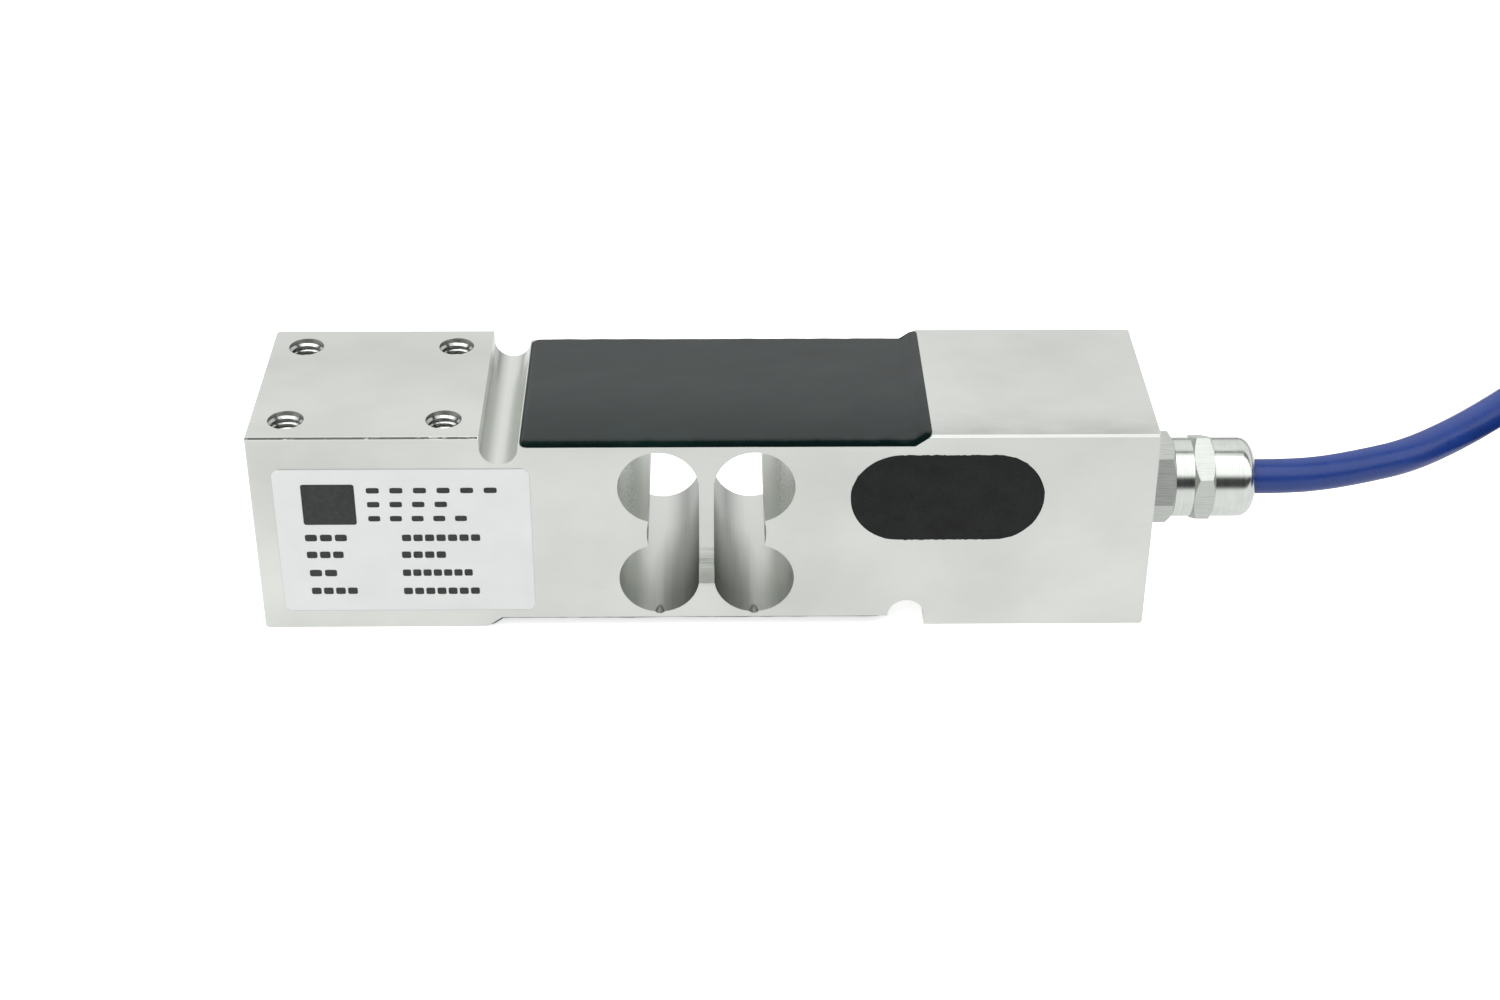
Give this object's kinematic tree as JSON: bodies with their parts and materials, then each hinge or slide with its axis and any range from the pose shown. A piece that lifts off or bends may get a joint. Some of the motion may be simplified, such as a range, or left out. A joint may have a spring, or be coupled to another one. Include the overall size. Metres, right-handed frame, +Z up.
{
  "type": "load cell",
  "caption": "Single point load cell: a milled aluminium beam with twin dog-bone flexures, sealed gauges, a white label and a blue cable in a nickel gland",
  "frame": {"origin": "Centre of the four tapped holes under the fixed end, on the block's underside.", "axes": "+X from the load end to the cable end, +Y from the label side to the back, +Z up, against the load."},
  "size_m": [0.3114, 0.085, 0.0375],
  "materials": {
    "milled_aluminium": "milled and clear anodised, satin",
    "top_compound": "grey brown sealing compound, glossy, soft edge",
    "pocket_compound": "black casting compound, slightly uneven",
    "label_foil": "thin white polyester foil with dark print",
    "washer_plastic": "white nylon sealing washer",
    "nickel": "nickel plated brass, bright turned",
    "seal_rubber": "black rubber bush",
    "clamp_metal": "plain brass ring",
    "cable_jacket": "royal blue PVC jacket, soft sheen",
    "gauge_film": "amber polyimide film with a metal foil grid",
    "terminal_copper": "copper pads on a glass fibre strip",
    "wire_enamel": "enamelled copper wire",
    "board_laminate": "green glass fibre board",
    "chip_ceramic": "chip resistors, black with tinned caps",
    "core_red": "red core insulation",
    "core_black": "black core insulation",
    "core_green": "green core insulation",
    "core_white": "white core insulation",
    "screen_sleeve": "yellow sleeving over the screen's drain wire",
    "tinned_copper": "tinned stranded copper",
    "tie_plastic": "black cable tie",
    "shrink_sleeve": "black heat-shrink sleeve"
  },
  "bodies": {
    "root": {"beam_body": "milled_aluminium", "gauge_top_load": "gauge_film", "gauge_bottom_load": "gauge_film", "gauge_top_fixed": "gauge_film", "gauge_bottom_fixed": "gauge_film", "terminals_top": "terminal_copper", "terminals_bottom": "terminal_copper", "bridge_wires_top": "wire_enamel", "bridge_wires_bottom": "wire_enamel", "trim_board": "board_laminate", "trim_resistors": "chip_ceramic", "board_lead_red": "core_red", "board_lead_black": "core_black", "board_lead_green": "core_green", "board_lead_white": "core_white", "top_potting": "top_compound", "bottom_potting": "top_compound", "pocket_potting": "pocket_compound", "rating_label": "label_foil", "gland_washer": "washer_plastic", "gland_body": "nickel", "gland_seal": "seal_rubber", "gland_clamp_ring": "clamp_metal", "gland_cap_nut": "nickel", "cable_inlet": "cable_jacket", "cable_lead": "cable_jacket", "cable_coil": "cable_jacket", "cable_tail": "cable_jacket", "coil_ties": "tie_plastic", "end_sleeve": "shrink_sleeve", "free_lead_red": "core_red", "free_lead_black": "core_black", "free_lead_green": "core_green", "free_lead_white": "core_white", "free_lead_screen": "screen_sleeve", "lead_tips": "tinned_copper"}
  },
  "joints": []
}
